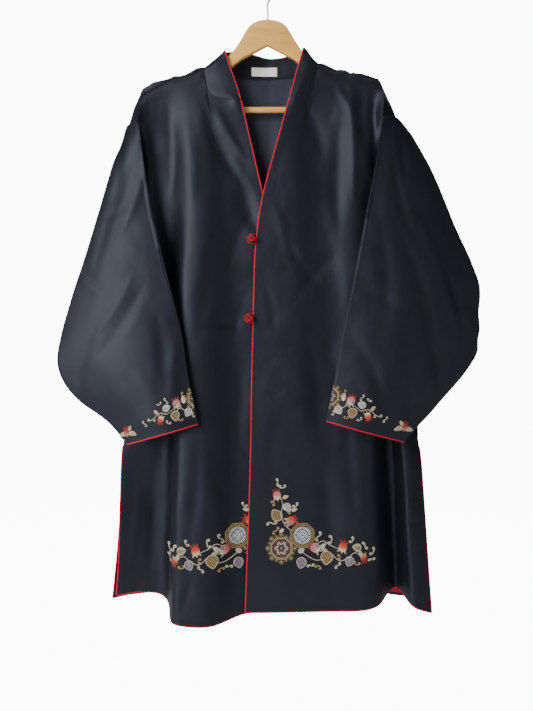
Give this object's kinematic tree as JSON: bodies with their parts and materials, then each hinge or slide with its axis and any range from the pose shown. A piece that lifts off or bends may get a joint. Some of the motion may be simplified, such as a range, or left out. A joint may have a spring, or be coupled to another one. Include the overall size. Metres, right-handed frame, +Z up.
{
  "type": "hanbok jacket on hanger",
  "caption": "Long lined satin hanbok jacket with a stand-up collar, piped edges, knot buttons and side vents, on a wooden hanger with a wire hook.",
  "frame": {"origin": "inner crown of the hanger's hook, where a rail carries it", "axes": "+Z up, +X to the right of someone who faces the jacket's front, +Y away from them, so the front faces -Y; pieces named right are the wearer's right, at -X"},
  "size_m": [0.743, 0.1633, 1.1445],
  "materials": {
    "satin": "dark navy-black satin with a soft sheen",
    "lining": "plain navy lining weave",
    "red_satin": "red satin",
    "red_cord": "twisted red cord",
    "label_cloth": "blank woven label",
    "hanger_wood": "pale clear-varnished wood",
    "hook_steel": "bright steel wire"
  },
  "bodies": {
    "root": {"back": "satin", "front_right": "satin", "front_left": "satin", "collar": "satin", "sleeve_right": "satin", "sleeve_left": "satin", "lining_back_right": "lining", "lining_back_left": "lining", "back_hem_facing": "red_satin", "piping_front_right": "red_satin", "piping_front_left": "red_satin", "piping_back": "red_satin", "piping_collar": "red_satin", "piping_cuff_right": "red_satin", "piping_cuff_left": "red_satin", "button_upper": "red_cord", "loop_upper": "red_cord", "button_lower": "red_cord", "loop_lower": "red_cord", "label": "label_cloth", "hanger_body": "hanger_wood", "hanger_bar": "hanger_wood", "hanger_hook": "hook_steel"}
  },
  "joints": []
}
